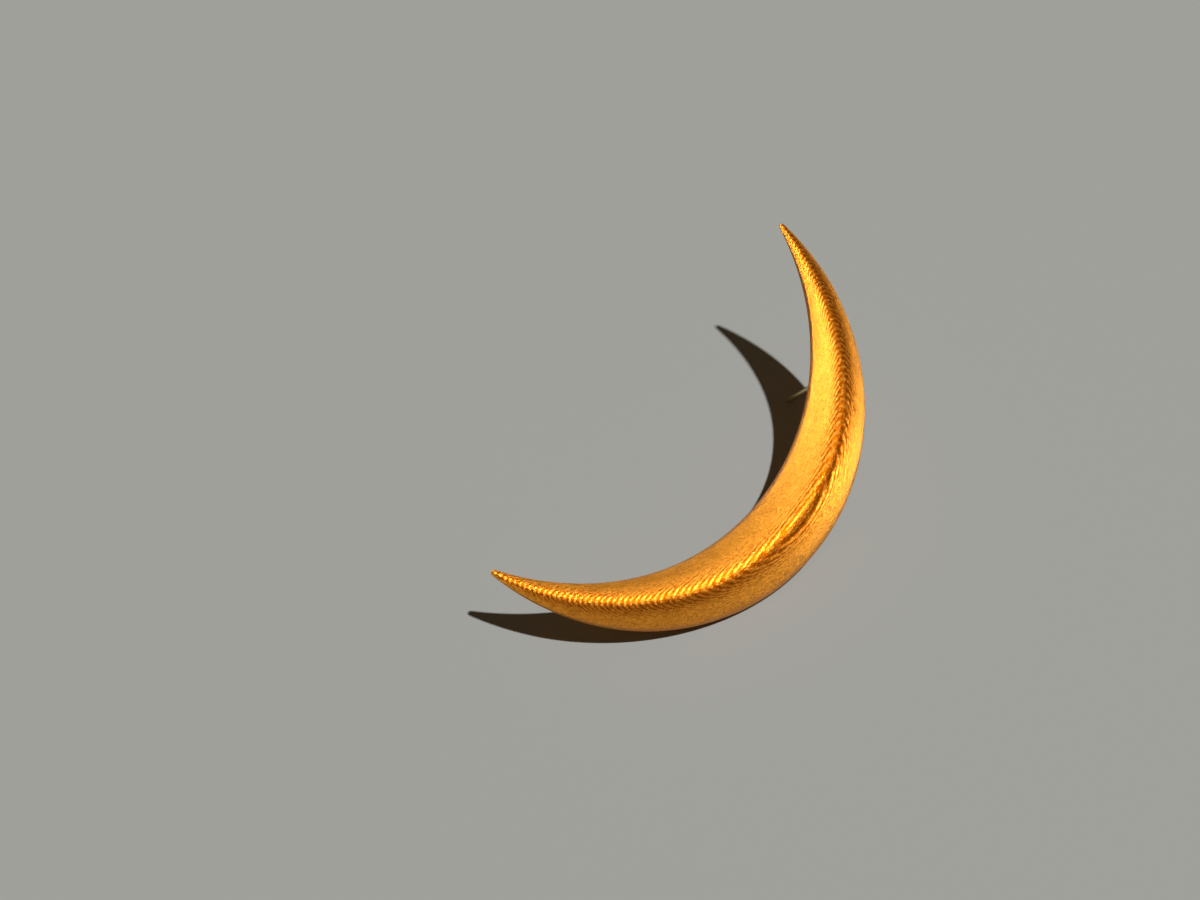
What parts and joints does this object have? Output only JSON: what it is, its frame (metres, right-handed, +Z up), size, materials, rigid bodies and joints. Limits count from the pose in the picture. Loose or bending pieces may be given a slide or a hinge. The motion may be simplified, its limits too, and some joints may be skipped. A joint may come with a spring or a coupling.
{
  "type": "crescent ear stud",
  "caption": "Large crescent-shaped ear stud with a domed front, a flat back and one straight wire post, lying as it rests.",
  "frame": {"origin": "centre of the footprint of the bounding box, on the table that the stud rests on with its post's round end and a short straight stretch of its outer back edge", "axes": "+Z up from the table, +X along the chord of the tips towards the tip beside the post, +Y from the belly towards the tips"},
  "size_m": [0.054, 0.0236, 0.0193],
  "materials": {
    "satin_gold": "satin, with fine contour ridges"
  },
  "bodies": {
    "root": {"crescent_stud": "satin_gold"}
  },
  "joints": []
}
